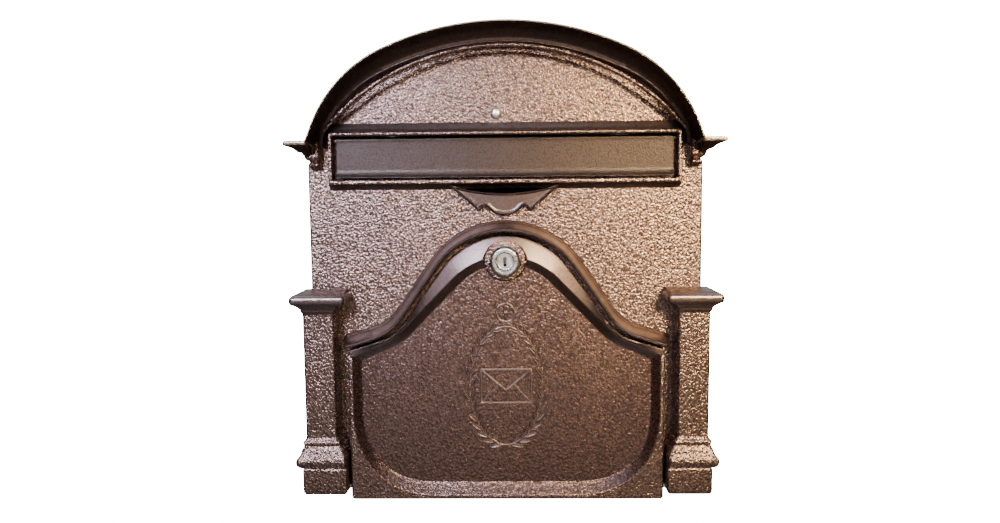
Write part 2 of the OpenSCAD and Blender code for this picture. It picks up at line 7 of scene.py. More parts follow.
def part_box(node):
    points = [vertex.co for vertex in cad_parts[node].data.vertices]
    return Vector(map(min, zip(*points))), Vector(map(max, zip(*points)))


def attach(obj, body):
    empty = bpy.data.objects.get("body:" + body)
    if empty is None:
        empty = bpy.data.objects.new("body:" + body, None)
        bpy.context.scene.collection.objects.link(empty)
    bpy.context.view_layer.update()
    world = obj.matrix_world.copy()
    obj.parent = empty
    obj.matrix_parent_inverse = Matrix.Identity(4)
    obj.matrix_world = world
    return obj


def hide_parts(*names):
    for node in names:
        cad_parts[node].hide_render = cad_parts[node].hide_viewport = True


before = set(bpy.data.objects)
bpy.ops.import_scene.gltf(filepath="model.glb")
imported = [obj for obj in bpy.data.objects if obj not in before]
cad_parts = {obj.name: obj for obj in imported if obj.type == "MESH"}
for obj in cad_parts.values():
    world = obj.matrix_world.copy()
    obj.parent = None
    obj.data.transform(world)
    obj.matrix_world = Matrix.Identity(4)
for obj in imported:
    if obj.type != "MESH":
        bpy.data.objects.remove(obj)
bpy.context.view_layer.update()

# All sizes are in millimetres. Heights (z) are counted from the undersides of the plinths, and
# depths (d) from the face of the front panel towards the street.
MM = 0.001
FACE_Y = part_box("front_panel")[0].y
BASE_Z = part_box("left_pilaster")[0].z
FRONT = Vector((0, -1, 0))
SIDE = Vector((1, 0, 0))


def at(x, z, d=0.0):
    """The place x to the right, z above the plinths and d in front of the panel's face."""
    return Vector((x * MM, FACE_Y - d * MM, BASE_Z + z * MM))


def sizes(node):
    """A CAD node's x, z and d limits in millimetres."""
    low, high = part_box(node)
    return ((low.x / MM, high.x / MM), ((low.z - BASE_Z) / MM, (high.z - BASE_Z) / MM),
            ((FACE_Y - high.y) / MM, (FACE_Y - low.y) / MM))


PANEL_X = sizes("front_panel")[0][1]
FRAME_X, FRAME_Z, _ = sizes("slot_frame")
DOOR_X, DOOR_Z, DOOR_D = sizes("door_panel")
FLAP_X, FLAP_Z, _ = sizes("slot_flap")
LOCK_Z = sum(sizes("lock_body")[1]) / 2
WALL_D = sizes("back_panel")[2][0]
CASE_X = sizes("case_wrap")[0][1]
BACK_D = sizes("front_panel")[2][0]


# ---------------------------------------------------------------- outlines

def steps(a, b, n):
    """n + 1 even steps from a to b."""
    return [a + (b - a) * i / n for i in range(n + 1)]


def arc(x, z, r, a, b, n):
    """Points on an arc; the angles are in degrees, clockwise from the top."""
    return [(x + r * math.sin(t), z + r * math.cos(t))
            for t in steps(math.radians(a), math.radians(b), n)]


def between(p, q, n):
    """The n - 1 points that split the straight line from p to q."""
    return [tuple(a + (b - a) * k for a, b in zip(p, q)) for k in steps(0, 1, n)[1:-1]]


def ogee(z, r, slope, hook_x, hook_z, hook_r, end, x):
    """Right half of the door's top line: crown arc, straight shoulder, hook arc, straight end at x.
    slope and end are how steeply the shoulder and the end fall, in degrees."""
    crown = arc(0, z, r, 0, slope, 18)
    hook = arc(hook_x, hook_z, -hook_r, slope, end, 14)
    tip = (x, hook[-1][1] - (x - hook[-1][0]) * math.tan(math.radians(end)))
    return crown + between(crown[-1], hook[0], 6) + hook + between(hook[-1], tip, 4) + [tip]


def lower(top, low, bow_x, bow_z, power):
    """Goes on from the end of a top line: down the side, round a bowed corner, in to the middle."""
    x, z = top[-1]
    corner = [(x - bow_x * (1 - math.cos(t) ** (2 / power)),
               low + bow_z * (1 - math.sin(t) ** (2 / power))) for t in steps(0, math.pi / 2, 28)]
    side = [(x, z - 2.5), (x, z - 5)]
    return (top + side + between(side[-1], corner[0], 8) + corner
            + between(corner[-1], (0, low), 8) + [(0, low)])


def ring(half, d=None):
    """A whole outline from its right half, which runs from the middle of the top to the foot."""
    half = [(p[0], p[1], p[2] if d is None else d) for p in half]
    return [at(*p) for p in half] + [at(-x, z, e) for x, z, e in reversed(half[1:-1])]


def plan(z, x0, x1, d, r):
    """A level outline round a moulding that stands on the panel, with rounded front corners."""
    r = min(r, d * 0.45, (x1 - x0) * 0.45)
    left = [(x0 + r - r * math.cos(t), d - r + r * math.sin(t)) for t in steps(0, math.pi / 2, 4)]
    right = [(x0 + x1 - x, e) for x, e in reversed(left)]
    return [at(x, z, e) for x, e in [(x0, -0.3)] + left + right + [(x1, -0.3)]]


def rectangle(x, z0, z1, r, d):
    """An upright rounded rectangle, symmetrical about the middle."""
    top = [(x - r + r * math.sin(t), z1 - r + r * math.cos(t)) for t in steps(0, math.pi / 2, 4)]
    foot = [(x - r + r * math.cos(t), z0 + r - r * math.sin(t)) for t in steps(0, math.pi / 2, 4)]
    return ring([(0, z1)] + top + foot + [(0, z0)], d)


# ---------------------------------------------------------------- building pieces

# Places in a casting's list of finishes: hammered, satin, painted shade, and one that is the casting's
# own
ROUGH, SMOOTH, PAINTED_SHADE, OWN = range(4)


def linked(name, data):
    """A new object in the scene."""
    ob = bpy.data.objects.new(name, data)
    bpy.context.scene.collection.objects.link(ob)
    return ob


def pairs(line, closed):
    """Each point of a line with the next one."""
    return list(zip(line, line[1:] + (line[:1] if closed else [])))


def skin(bm, rows, closed=True, caps=(True, True), finish=(), cap_finish=0):
    """Extrudes the first outline on to the next and so on. finish[i] is the finish of strip i."""
    line = [bm.verts.new(p) for p in rows[0]]
    ends = [[bm.edges.new(pair) for pair in pairs(line, closed)]]
    first = line
    for i, row in enumerate(rows[1:]):
        edges = [bm.edges.get(pair) for pair in pairs(line, closed)]
        made = bmesh.ops.extrude_edge_only(bm, edges=edges)["geom"]
        fresh = {g for g in made if isinstance(g, bmesh.types.BMVert)}
        line = [next(e.other_vert(v) for e in v.link_edges if e.other_vert(v) in fresh) for v in line]
        for v, p in zip(line, row):
            v.co = p
        for g in made:
            if isinstance(g, bmesh.types.BMFace):
                g.material_index = finish[i] if i < len(finish) else 0
    ends.append([bm.edges.get(pair) for pair in pairs(line, closed)])
    for cap, edges in zip(caps, ends):
        if cap:
            for f in bmesh.ops.contextual_create(bm, geom=edges)["faces"]:
                f.material_index = cap_finish
    return first, line


def turn(bm, centre, axis, profile, around):
    """Turns a profile of (radius, reach along the axis) points about an axis through centre."""
    out = axis.orthogonal().normalized()
    verts = [bm.verts.new(centre + out * r * MM + axis * h * MM) for r, h in profile]
    edges = [bm.edges.new(pair) for pair in zip(verts, verts[1:])]
    bmesh.ops.spin(bm, geom=verts + edges, cent=centre, axis=axis, angle=2 * math.pi,
                   steps=around, use_merge=True)


def tidy(bm):
    """Joins doubled points and points every face outwards."""
    bmesh.ops.remove_doubles(bm, verts=bm.verts, dist=3e-6)
    bmesh.ops.dissolve_degenerate(bm, dist=1e-6, edges=bm.edges)
    bmesh.ops.recalc_face_normals(bm, faces=bm.faces)


def soften(bm, width, angle):
    """Rounds every edge that is sharper than angle."""
    tidy(bm)
    sharp = math.radians(angle)
    edges = [e for e in bm.edges if len(e.link_faces) == 2 and e.calc_face_angle(0) > sharp]
    bmesh.ops.bevel(bm, geom=edges, offset=width * MM, offset_type="OFFSET", segments=2,
                    profile=0.5, affect="EDGES", clamp_overlap=True, material=-1)


def combine(bm, tool, how):
    """Cuts the tool out of bm (DIFFERENCE) or joins it on (UNION)."""
    objects = []
    for part in (bm, tool):
        tidy(part)
        mesh = bpy.data.meshes.new("part")
        # Empty slots, without which the cut would drop the faces' finishes
        for _ in range(5):
            mesh.materials.append(None)
        part.to_mesh(mesh)
        part.free()
        objects.append(linked("part", mesh))
    change = objects[0].modifiers.new("change", "BOOLEAN")
    change.operation = how
    change.object = objects[1]
    change.solver = "EXACT"
    made = objects[0].evaluated_get(bpy.context.evaluated_depsgraph_get())
    out = bmesh.new()
    out.from_mesh(made.to_mesh())
    for ob in objects:
        bpy.data.objects.remove(ob)
    return out


def piece(name, bm, body, finishes, replaces=(), sharp=32, sheet=0):
    """Makes the finished object, riding on its CAD body. Edges over sharp degrees stay crisp, and
    sheet is the wall's thickness where bm is only a skin."""
    tidy(bm)
    mesh = bpy.data.meshes.new(name)
    bm.to_mesh(mesh)
    bm.free()
    mesh.shade_smooth()
    mesh.set_sharp_from_angle(angle=math.radians(sharp))
    for material in finishes:
        mesh.materials.append(material)
    ob = linked(name, mesh)
    if sheet:
        wall = ob.modifiers.new("thickness", "SOLIDIFY")
        wall.thickness = sheet * MM
        wall.offset = -1
    flat = ob.modifiers.new("even shading", "WEIGHTED_NORMAL")
    flat.keep_sharp = True
    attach(ob, body)
    if replaces:
        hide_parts(*replaces)


# ---------------------------------------------------------------- finishes

def colour(text):
    """A linear colour from an sRGB hex value."""
    parts = [int(text[i:i + 2], 16) / 255 for i in (1, 3, 5)]
    return tuple(c / 12.92 if c <= 0.04045 else ((c + 0.055) / 1.055) ** 2.4 for c in parts) + (1,)


def add(tree, kind, inputs=(), **settings):
    """Adds a node with its settings, values and links."""
    made = tree.nodes.new(kind)
    for key, value in settings.items():
        setattr(made, key, value)
    for key, value in dict(inputs).items():
        if isinstance(value, bpy.types.NodeSocket):
            tree.links.new(value, made.inputs[key])
        else:
            made.inputs[key].default_value = value
    return made


def surface(name, **values):
    """A new material with a Principled shader, whose sockets take the values."""
    material = bpy.data.materials.new(name)
    material.use_nodes = True
    tree = material.node_tree
    shader = tree.nodes["Principled BSDF"]
    for key, value in values.items():
        shader.inputs[key.replace("_", " ")].default_value = value
    return material, tree, shader


def powder_coat(name, grain, relief, low, high, valley_shade, rough, coat, metal=0.92):
    """Hammered metallic powder coat on cast aluminium. The coat shrinks into small hills, grain
    millimetres apart and relief millimetres high; the hills keep the ground colour, and the valleys
    are darkened towards the third colour as painted shade. Soft clouds of colour, 55 mm wide, come from
    the spraying."""
    material, tree, shader = surface(name, Metallic=metal, IOR=1.5, Coat_Weight=coat,
                                     Coat_Roughness=0.2)
    spot = add(tree, "ShaderNodeTexCoord").outputs["Object"]
    clouds = add(tree, "ShaderNodeTexNoise", {"Vector": spot, "Scale": 1 / (55 * MM), "Detail": 3,
                                              "Roughness": 0.55})
    wander = add(tree, "ShaderNodeTexNoise", {"Vector": spot, "Scale": 0.6 / (grain * MM), "Detail": 2})
    moved = add(tree, "ShaderNodeVectorMath", {0: wander.outputs["Color"], "Scale": 1.6 * grain * MM},
                operation="SCALE")
    place = add(tree, "ShaderNodeVectorMath", {0: spot, 1: moved.outputs[0]}, operation="ADD")
    hills = add(tree, "ShaderNodeTexVoronoi", {"Vector": place.outputs[0], "Scale": 1 / (grain * MM),
                                               "Smoothness": 0.5}, feature="SMOOTH_F1")
    fine = add(tree, "ShaderNodeTexNoise", {"Vector": spot, "Scale": 1 / (0.45 * grain * MM),
                                            "Detail": 2})
    height = add(tree, "ShaderNodeMapRange", {0: hills.outputs["Distance"], 1: 0.1, 2: 0.8, 3: 1.0,
                                              4: 0.0})
    both = add(tree, "ShaderNodeMath", {0: fine.outputs["Fac"], 1: 0.5, 2: height.outputs[0]},
               operation="MULTIPLY_ADD")
    bump = add(tree, "ShaderNodeBump", {"Height": both.outputs[0], "Strength": 1,
                                        "Distance": relief * MM})
    ground = add(tree, "ShaderNodeMix", {0: clouds.outputs["Fac"], 6: colour(low), 7: colour(high)},
                 data_type="RGBA")
    # Painted shade: the valleys are mixed towards the darker valley colour
    valley = add(tree, "ShaderNodeMapRange", {0: both.outputs[0], 1: 0.3, 2: 1.0, 3: 0.35, 4: 1.0})
    shade = add(tree, "ShaderNodeMix", {0: valley.outputs[0], 6: colour(valley_shade), 7: ground.outputs[2]},
               data_type="RGBA")
    gloss = add(tree, "ShaderNodeMapRange", {0: fine.outputs["Fac"], 1: 0.3, 2: 0.7, 3: rough - 0.05,
                                             4: rough + 0.07})
    tree.links.new(shade.outputs[2], shader.inputs["Base Color"])
    tree.links.new(gloss.outputs[0], shader.inputs["Roughness"])
    tree.links.new(bump.outputs[0], shader.inputs["Normal"])
    tree.links.new(bump.outputs[0], shader.inputs["Coat Normal"])
    return material


def plated(name, shade, rough, spread, scratch):
    """Bright metal with faint uneven gloss, spread millimetres wide, and fine scratches."""
    material, tree, shader = surface(name, Base_Color=colour(shade), Metallic=1.0)
    spot = add(tree, "ShaderNodeTexCoord").outputs["Object"]
    clouds = add(tree, "ShaderNodeTexNoise", {"Vector": spot, "Scale": 1 / (spread * MM), "Detail": 4})
    gloss = add(tree, "ShaderNodeMapRange", {0: clouds.outputs["Fac"], 1: 0.3, 2: 0.7, 3: rough * 0.85,
                                             4: rough * 1.2})
    bump = add(tree, "ShaderNodeBump", {"Height": clouds.outputs["Fac"], "Strength": 0.5,
                                        "Distance": scratch * MM})
    tree.links.new(gloss.outputs[0], shader.inputs["Roughness"])
    tree.links.new(bump.outputs[0], shader.inputs["Normal"])
    return material


# Hammered antique-copper powder coat: 2.1 mm hills that glitter in the light
HAMMERED = powder_coat("hammered copper powder coat", 2.1, 0.42, "#79635d", "#886e5e", "#35241f",
                       0.27, 0.5)
# Painted highlight along the outer edges of the cornice: a paler, brassy line
EDGE_HIGHLIGHT = powder_coat("edge highlight copper powder coat", 2.1, 0.25, "#b5a68c", "#c2b091", "#75624f",
                     0.32, 0.4)
# The raised emblem is rubbed a little paler than the field round it
EMBOSSED = powder_coat("rubbed satin powder coat", 1.6, 0.05, "#84736c", "#8b7568", "#5a4a45",
                       0.36, 0.4)
# On the door's sunk field: lower hills, on a darker, redder ground that is painted shade
SHADED_FIELD = powder_coat("shaded field copper powder coat", 2.1, 0.33, "#644f4b", "#72594e", "#33241f",
                     0.29, 0.4)
# The same coat where it runs thin and smooth over mouldings: a satin sheen with a faint grain
SATIN = powder_coat("satin copper powder coat", 1.6, 0.06, "#5c4e4c", "#62524b", "#4b3e3b",
                    0.36, 0.4)
# Painted shade for the cornice's hollow and other faces in shade: a smooth dark brown copy of the coat,
# with few flakes
SHADE_COAT = powder_coat("shaded copper powder coat", 1.6, 0.04, "#43322c", "#4b3a33", "#382a25",
                     0.5, 0.1)
# The flap's own pressure casting is finer, so the same coat shrinks into smaller, flatter hills
FINE = powder_coat("fine copper powder coat", 1.5, 0.12, "#463c39", "#4c413c", "#352c29",
                   0.56, 0.1)
# Dark brown powder coat on folded steel sheet: low gloss, with a fine even peel
SHEET = powder_coat("brown sheet powder coat", 1.1, 0.03, "#493c37", "#54463f", "#3c312d",
                    0.5, 0.1, metal=0.15)
# Zinc-plated steel: pale grey, soft gloss with faint clouds
ZINC = plated("zinc plated steel", "#b4b4ae", 0.34, 5, 0.01)
# Chrome on the lock, handled for years: pale, with soft reflections and little texture
CHROME = plated("polished chrome", "#f4f4f2", 0.28, 8, 0.0005)
# Brass inside the keyway: warm and dull, and darkened with the painted shade of the slot
SHADED_BRASS = plated("shaded keyway brass", "#54431f", 0.5, 1, 0.01)
# Tumbled bright steel of the dome bolt: pale and silky, so that it shines all over
BRIGHT = plated("tumbled bright steel", "#f0f0ec", 0.4, 4, 0.002)
COAT = [HAMMERED, SATIN, SHADE_COAT]


# ---------------------------------------------------------------- cornice

# Its outline: a wide crown arc out to CROWN_A degrees, a tighter haunch arc on to HAUNCH_A degrees,
# and a straight foot of length FOOT_L that ends at the ear
CROWN_A, HAUNCH_A, HAUNCH_R = 24.5, 68, 121
FOOT_X, FOOT_Z, FOOT_L = PANEL_X - 6.5, 319, 13.5
SWAY = math.radians(HAUNCH_A)
HAUNCH_X = FOOT_X - FOOT_L * math.cos(SWAY) - HAUNCH_R * math.sin(SWAY)
HAUNCH_Z = FOOT_Z + FOOT_L * math.sin(SWAY) - HAUNCH_R * math.cos(SWAY)
ARCH_R = HAUNCH_R + HAUNCH_X / math.sin(math.radians(CROWN_A))
ARCH_Z = HAUNCH_Z - (ARCH_R - HAUNCH_R) * math.cos(math.radians(CROWN_A))
ARCH_TOP = ARCH_Z + ARCH_R
CORNICE_D = sizes("roof_cornice")[2][1]
# The bead runs on a circle of its own, into the upper corners of the slot frame
BEAD_X, BEAD_Z, BEAD_TOP = FRAME_X[1] + 3, FRAME_Z[1] + 1.5, ARCH_TOP - 17.7
BEAD_R = (BEAD_X ** 2 + (BEAD_TOP - BEAD_Z) ** 2) / 2 / (BEAD_TOP - BEAD_Z)
BEAD_MID = BEAD_TOP - BEAD_R


def arch(o, n=20):
    """Right half of the cornice's outline, moved outwards by o, down to the straight foot."""
    return (arc(0, ARCH_Z, ARCH_R + o, 0, CROWN_A, n)[:-1]
            + arc(HAUNCH_X, HAUNCH_Z, HAUNCH_R + o, CROWN_A, HAUNCH_A, n))


def arch_to(o, x, low, n=20):
    """The same, run on down to the side at x and then down to the height low."""
    half = arch(o, n)
    last_x, last_z = half[-1]
    side = (x, last_z - (x - last_x) * math.tan(SWAY))
    return half + [side] + between(side, (x, low), 6) + [(x, low)]


def cornice_section(x, z, a):
    """Section through the cornice at a place on its outline where it slopes by a degrees: flat top,
    rounded lip, deep hollow, flat band and a hollow step down to the panel. It grows narrower from
    the crown to the haunch's end (run), and its band sinks over the straight foot (tail)."""
    run = max(0, (a - CROWN_A) / (HAUNCH_A - CROWN_A))
    width = 13.7 - 6.2 * run
    tail = max(0, (FOOT_Z + FOOT_L * math.sin(SWAY) - z) / FOOT_L) if a > HAUNCH_A - 0.1 else 0
    band = 12 - 3 * max(0, run - 0.7) / 0.3 - 5 * tail
    n = Vector((math.sin(math.radians(a)), math.cos(math.radians(a))))
    v = Vector((x, z - BEAD_MID))
    reach = v.dot(n) - math.sqrt(v.dot(n) ** 2 - v.length_squared + BEAD_R ** 2)
    stop = (x - FRAME_X[1] - 1.2) / max(n.x, 0.05)
    reach = min(max(reach, width + 0.8), max(stop, width + 0.8))
    inner = min(reach + 6.5, max(stop, reach + 0.6))
    lip = CORNICE_D
    hollow = [((width - 2.8) * math.cos(t) - width,
               lip - 1.4 - (lip - 1.4 - band - 0.6) * math.sin(t)) for t in steps(0, math.pi / 2, 9)]
    step = inner - reach
    return ([(-inner, -0.4), (-1.4, -0.4), (-0.4, 0.3), (0, 1.6), (0, 12), (0, 24), (0, lip - 4.0),
             (-0.4, lip - 2.4), (-1.0, lip - 1.0), (-1.8, lip - 0.2), (-2.5, lip)] + hollow
            + [(-width - 0.5, band), (-reach, band), (-reach - 0.25 * step, band * 0.86),
               (-reach - 0.42 * step, band * 0.45), (-reach - 0.68 * step, band * 0.16), (-inner, 0.1)])


def cornice_path():
    """Places along the right half of the cornice, with the slope at each."""
    slopes = steps(0, CROWN_A, 24)[:-1] + steps(CROWN_A, HAUNCH_A, 24)
    path = [(x, z, a) for (x, z), a in zip(arch(0, 24), slopes)]
    x, z, a = path[-1]
    foot = (FOOT_X, FOOT_Z)
    return path + [(p, q, HAUNCH_A) for p, q in between((x, z), foot, 5) + [foot]]


def swept(path, section):
    """Closed outlines of a section along a path, left end first. section(x, z, a) gives its
    (distance outwards, depth) points."""
    rows = []
    for side, stretch in ((-1, reversed(path[1:])), (1, path)):
        for x, z, a in stretch:
            nx, nz = math.sin(math.radians(a)), math.cos(math.radians(a))
            rows.append([at(side * (x + o * nx), z + o * nz, d) for o, d in section(x, z, a)])
    return rows


bm = bmesh.new()
rows = swept(cornice_path(), cornice_section)
skin(bm, rows, finish=[SMOOTH] * len(rows))
tidy(bm)
# Painted shade where the hollow faces inwards, in front of the flat band, and a painted highlight on the
# lip
BAND_D, LIP = 12.5, 4
for f in bm.faces:
    spot = f.calc_center_median()
    depth = (FACE_Y - spot.y) / MM
    facing = f.normal.dot((at(0, BEAD_MID, depth) - spot).normalized())
    if facing > 0.15 and depth > BAND_D:
        f.material_index = PAINTED_SHADE
    elif facing < 0.3 and depth > CORNICE_D - LIP:
        f.material_index = OWN
# Stepped corbel and pointed ear at each foot: height, inner x, outer x and depth of each moulding,
# counted from the side of the panel and the foot of the cornice
CORBEL = [
    (-24.0, -12.0, -5.6, 1.0), (-22.6, -13.4, -4.0, 5.0), (-21.6, -13.8, -3.2, 8.2),
    (-20.0, -13.8, -2.9, 9.0), (-18.6, -13.6, -3.2, 8.4), (-17.8, -13.0, -3.9, 6.6),
    (-16.6, -13.2, -3.4, 7.4), (-15.6, -14.0, -1.6, 10.6), (-14.6, -14.2, -1.0, 11.6),
    (-13.4, -14.2, -2.0, 12.0), (-12.2, -14.2, -4.2, 12.0), (-9.0, -14.2, -4.8, 11.4),
    (-4.0, -13.6, -5.4, 10.4), (0.0, -13.2, -5.8, 9.2), (3.0, -12.8, -6.4, 7.6)]
EAR = [
    (-15.0, -6.6, -1.2, 10.8), (-13.4, -6.6, -0.8, 12.0), (-12.2, -6.6, -0.6, 13.4),
    (-10.8, -6.6, -0.2, 15.4), (-9.6, -6.6, 0.8, 17.4), (-9.2, -6.6, 3.4, 19.4),
    (-8.2, -6.6, 4.2, 21.4), (-7.0, -6.8, 5.2, 23.4), (-5.8, -7.0, 7.4, 25.6),
    (-4.9, -7.4, 10.2, 27.4), (-4.2, -7.8, 12.2, 28.6), (-3.6, -8.2, 12.9, 29.2),
    (-1.7, -8.6, 12.9, 29.6), (-0.7, -8.6, 12.5, 29.2), (0.0, -8.6, 11.4, 28.2),
    (0.3, -8.6, 9.8, 26.6)]
# The ear's lower strips carry painted shade, and its upper strips the painted highlight
for side in (-1, 1):
    for levels, finish in ((CORBEL, []), (EAR, [PAINTED_SHADE] * 10 + [ROUGH] + [OWN] * 5)):
        rows = []
        for z, x0, x1, d in levels:
            ends = sorted((side * (PANEL_X + x0), side * (PANEL_X + x1)))
            rows.append(plan(FOOT_Z + z, *ends, d, 2.4))
        skin(bm, rows, finish=finish, cap_finish=SMOOTH)
piece("roof_cornice_casting", bm, "case", COAT + [EDGE_HIGHLIGHT], ["roof_cornice"],
      sharp=50)

# Bead along the cornice's inner step, running into the corners of the slot frame. It sinks by 3.2
# between SINK_A degrees and its ends
bm = bmesh.new()
rows = []
THICK, SINK_A = 1.9, 38
bead_end = math.degrees(math.asin(BEAD_X / BEAD_R))
for a in steps(-bead_end, bead_end, 96):
    nx, nz = math.sin(math.radians(a)), math.cos(math.radians(a))
    level = 11.6 - 3.2 * max(0, abs(a) - SINK_A) / (bead_end - SINK_A)
    rows.append([at((BEAD_R + THICK * math.cos(t)) * nx, BEAD_MID + (BEAD_R + THICK * math.cos(t)) * nz,
                    level + THICK * math.sin(t)) for t in steps(0, 2 * math.pi, 12)[:-1]])
skin(bm, rows)
piece("cornice_bead_moulding", bm, "case", COAT, ["cornice_bead"], sharp=60)


# ---------------------------------------------------------------- front panel

# Three outlines, the panel's own, the slot's and the door hole's, joined by its face and its back
bm = bmesh.new()
rows = []
for inset, d in ((2.4, 0), (1.2, -0.3), (0.35, -1.1), (0, -2.3), (0, -4.4), (0.5, -5)):
    half = arch_to(-2 - inset, PANEL_X - inset, inset)
    rows.append(ring(half + [(0, inset)], d))
outer = skin(bm, rows, caps=(False, False))
RECESS_X, RECESS_Z = FRAME_X[1] - 3.7, (FRAME_Z[0] + 4.2, FRAME_Z[1] - 3.2)
SLOT_X, SLOT_Z, NOTCH_Z = RECESS_X - 6.3, RECESS_Z[0] + 6.3, RECESS_Z[1] - 7.1
wide = [(0, RECESS_Z[1]), (RECESS_X, RECESS_Z[1]), (RECESS_X, NOTCH_Z), (RECESS_X, NOTCH_Z - 4),
        (RECESS_X, RECESS_Z[0]), (0, RECESS_Z[0])]
narrow = wide[:3] + [(SLOT_X, NOTCH_Z), (SLOT_X, SLOT_Z), (0, SLOT_Z)]
slot = skin(bm, [ring(wide, 0), ring(wide, -2), ring(narrow, -2), ring(narrow, BACK_D)],
            caps=(False, False))
# The door's upper edge, as ogee takes it
DOOR_TOP = (165, 69.5, 55, DOOR_X[1] - 11.4, 187.8, 51.5, 17)


def door_top(o, x):
    """Right half of the door's upper edge, moved outwards by o, out to x."""
    z, r, slope, hook_x, hook_z, hook_r, end = DOOR_TOP
    return ogee(z, r + o, slope, hook_x, hook_z, hook_r - o, end, x)


gate = lower(door_top(-6.3, DOOR_X[1] - 6.3), 16.6, 1, 1, 2)
door_hole = skin(bm, [ring(gate, 0), ring(gate, BACK_D)], caps=(False, False))
for end in (0, 1):
    edges = [bm.edges.get(pair) for loop in (outer[end], slot[end], door_hole[end])
             for pair in pairs(loop, True)]
    bmesh.ops.triangle_fill(bm, use_beauty=True, use_dissolve=False, edges=edges,
                            normal=FRONT * (1 - 2 * end))
piece("front_panel_casting", bm, "case", COAT, ["front_panel"])


# ---------------------------------------------------------------- letter slot

# Slot frame: (sideways, up, down) growth of each outline from the frame's own size, and its depth
bm = bmesh.new()
FRAME = [
    (2.6, 9.0, 5.0, -0.3), (1.8, 8.4, 4.4, 0.3), (1.0, 6.0, 3.2, 1.7), (0.5, 3.4, 1.8, 3.2),
    (0.2, 1.2, 0.6, 4.6), (0.0, 0.3, 0.0, 6.6), (-0.4, -0.3, -0.5, 8.7), (-1.2, -0.9, -1.3, 9.0),
    (-2.2, -1.9, -2.6, 9.0), (-3.2, -2.7, -3.6, 8.6), (-3.7, -3.2, -4.2, 7.8),
    (-3.7, -3.2, -4.2, -0.3)]
rows = [rectangle(FRAME_X[1] + s, FRAME_Z[0] - f, FRAME_Z[1] + u, max(3.2 + s * 0.7, 0.9), d)
        for s, u, f, d in FRAME]
rows.append(rows[0])
skin(bm, rows, caps=(False, False), finish=[SMOOTH] * 5 + [ROUGH] * 4 + [SMOOTH] * 3)
piece("slot_frame_casting", bm, "case", COAT, ["slot_frame"], sharp=50)

# Flap: a section of (depth, height) points drawn out along X; the lip curls forward at the foot
bm = bmesh.new()
barrel_z, face_d = FLAP_Z[1] - 2.8, 2.0
lip = [(face_d + 5.6 * (1 - math.cos(t)), FLAP_Z[0] + 8.6 - 7.4 * math.sin(t))
       for t in steps(0, math.pi / 2, 8)]
barrel = [(-0.5 + 2.8 * math.cos(t), barrel_z + 2.8 * math.sin(t)) for t in steps(-0.5, 3.6, 14)]
section = ([(-1.5, barrel_z - 2), (-1.5, FLAP_Z[0] + 5), (-0.4, FLAP_Z[0] + 2.4), (2.6, FLAP_Z[0] + 0.7),
            (6.2, FLAP_Z[0]), (7.4, FLAP_Z[0] + 0.1), (7.9, FLAP_Z[0] + 0.6)] + lip[::-1]
           + [(face_d, barrel_z - 3)] + barrel)
skin(bm, [[at(x, z, d) for d, z in section] for x in steps(FLAP_X[0], FLAP_X[1], 2)])
soften(bm, 0.35, 50)
piece("slot_flap_casting", bm, "flap", [FINE, SATIN], ["slot_flap"])

# Apron: a plate with a hollow upper edge and a scalloped lower one, and a thin raised rim
bm = bmesh.new()
edge = ([(x, -8.4 + 7.2 * (x / 50) ** 2) for x in steps(0, 50, 12)]
        + [(46, -4.4), (40, -9.4), (34, -14.3), (29, -18.7), (25.6, -22.2), (23.8, -23.6),
           (22.1, -22.9), (20.3, -20.4), (18.4, -19.0), (16.4, -19.6), (13.8, -22.2),
           (10.5, -25.1), (6, -27.2), (0, -27.9)])


def shrunk(half, by):
    """The half outline drawn in by so many millimetres, square to itself."""
    loop = [(-half[1][0], half[1][1])] + half + [(-half[-2][0], half[-2][1])]
    out = []
    for before, spot, after in zip(loop, loop[1:], loop[2:]):
        way = Vector((after[0] - before[0], after[1] - before[1])).normalized()
        out.append((max(spot[0] + way.y * by, 0) if spot[0] else 0, FRAME_Z[0] + spot[1] - way.x * by))
    return out


RIM = [(-0.9, -0.3), (-0.5, 1.0), (-0.1, 3.2), (0, 4.8), (0.3, 5.7), (0.8, 6.0), (1.3, 5.7), (1.9, 4.9)]
rows = [ring(shrunk(edge, by), d) for by, d in RIM]
# The plate inside the rim lies half a millimetre deeper than the rim's inner edge
rows.append([at(0, FRAME_Z[0] - 15, 4.4) + (p - at(0, FRAME_Z[0] - 15, 4.9)) * 0.8 for p in rows[-1]])
# The rim's outer wall carries painted shade
skin(bm, rows, finish=[PAINTED_SHADE] * 3 + [SMOOTH] * 6, cap_finish=SMOOTH)
piece("slot_apron_casting", bm, "case", COAT, ["slot_apron"], sharp=45)


# ---------------------------------------------------------------- hood over the door

def hood_path():
    """Places along the right half of the door's top edge, with the slope at each."""
    z, r, slope, hook_x, hook_z, hook_r, end = DOOR_TOP
    path = [(x, q, a) for (x, q), a in zip(arc(0, z, r, 0, slope, 20), steps(0, slope, 20))]
    hook = [(x, q, a) for (x, q), a in zip(arc(hook_x, hook_z, -hook_r, slope, end, 16),
                                           steps(slope, end, 16))]
    path += [(x, q, slope) for x, q in between(path[-1][:2], hook[0][:2], 4)] + hook
    x, q = hook[-1][:2]
    tip = (DOOR_X[1] + 4.4, q - (DOOR_X[1] + 4.4 - x) * math.tan(math.radians(end)))
    close = [tuple(b + (t - b) * k for b, t in zip((x, q), tip))
             for k in (0.86, 0.92, 0.96, 0.985, 1.0)]
    return path + [(p, s, end) for p, s in between((x, q), tip, 5) + close]


